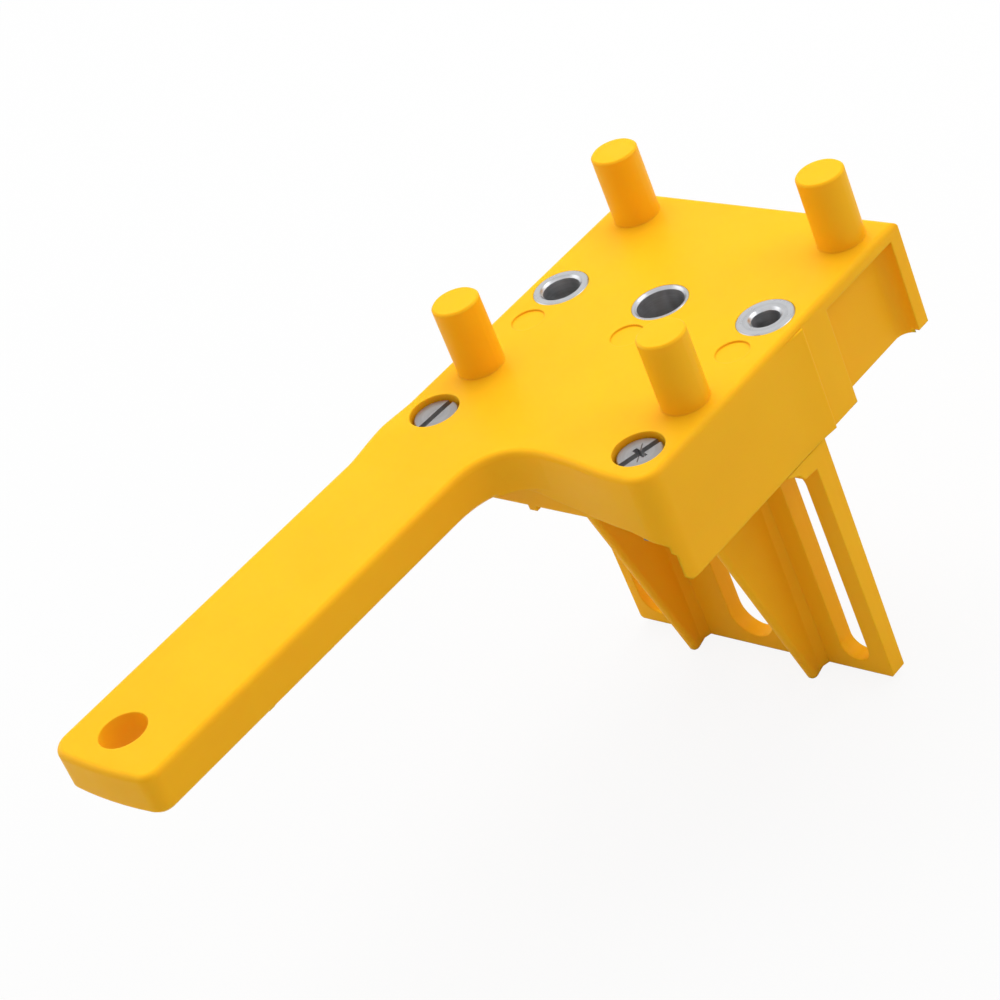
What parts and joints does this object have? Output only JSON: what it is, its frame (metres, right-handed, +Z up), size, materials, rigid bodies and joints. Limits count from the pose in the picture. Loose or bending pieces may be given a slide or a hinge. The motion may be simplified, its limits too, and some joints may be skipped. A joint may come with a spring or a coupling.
{
  "type": "dowel jig",
  "caption": "Hand-held drilling jig with steel drill sleeves between centring pins, a side handle and a slotted sliding fence held by clamp screws.",
  "frame": {"origin": "on the plate's top surface, where the middle sleeve's axis crosses it and in the middle of the square of pins", "axes": "+X along the row of sleeves from the 8 mm to the 6 mm one, +Y away from the handle, +Z up out of the plate along the pins"},
  "size_m": [0.0715, 0.1818, 0.1013],
  "materials": {
    "yellow_plastic": "satin moulded ABS",
    "sleeve_steel": "ground and hardened",
    "screw_steel": "zinc plated"
  },
  "bodies": {
    "jig": {"body": "yellow_plastic", "sleeve_6mm": "sleeve_steel", "sleeve_8mm": "sleeve_steel", "sleeve_10mm": "sleeve_steel"},
    "stop": {"fence": "yellow_plastic"},
    "screw_left": {"clamp_screw_left": "screw_steel"},
    "screw_right": {"clamp_screw_right": "screw_steel"},
    "nut_left": {"square_nut_left": "screw_steel"},
    "nut_right": {"square_nut_right": "screw_steel"}
  },
  "joints": [
    {"name": "fence_slide", "type": "slide", "parent": "jig", "child": "stop", "axis": [0, -1, 0], "range_m": [0, 0.016]},
    {"name": "screw_left_turn", "type": "hinge", "parent": "jig", "child": "screw_left", "pos_m": [-0.0267, -0.042, 0], "axis": [0, 0, 1], "range_deg": [-120, 360]},
    {"name": "screw_right_turn", "type": "hinge", "parent": "jig", "child": "screw_right", "pos_m": [0.0267, -0.042, 0], "axis": [0, 0, 1], "range_deg": [-120, 360]},
    {"name": "nut_left_lift", "type": "slide", "parent": "jig", "child": "nut_left", "axis": [0, 0, -1], "range_m": [-0.00027, 0.0008]},
    {"name": "nut_right_lift", "type": "slide", "parent": "jig", "child": "nut_right", "axis": [0, 0, -1], "range_m": [-0.00027, 0.0008]}
  ],
  "couplings": [
    {"joint": "screw_left_turn", "follows": "nut_left_lift", "rad_per_m": 7854},
    {"joint": "screw_right_turn", "follows": "nut_right_lift", "rad_per_m": 7854}
  ]
}
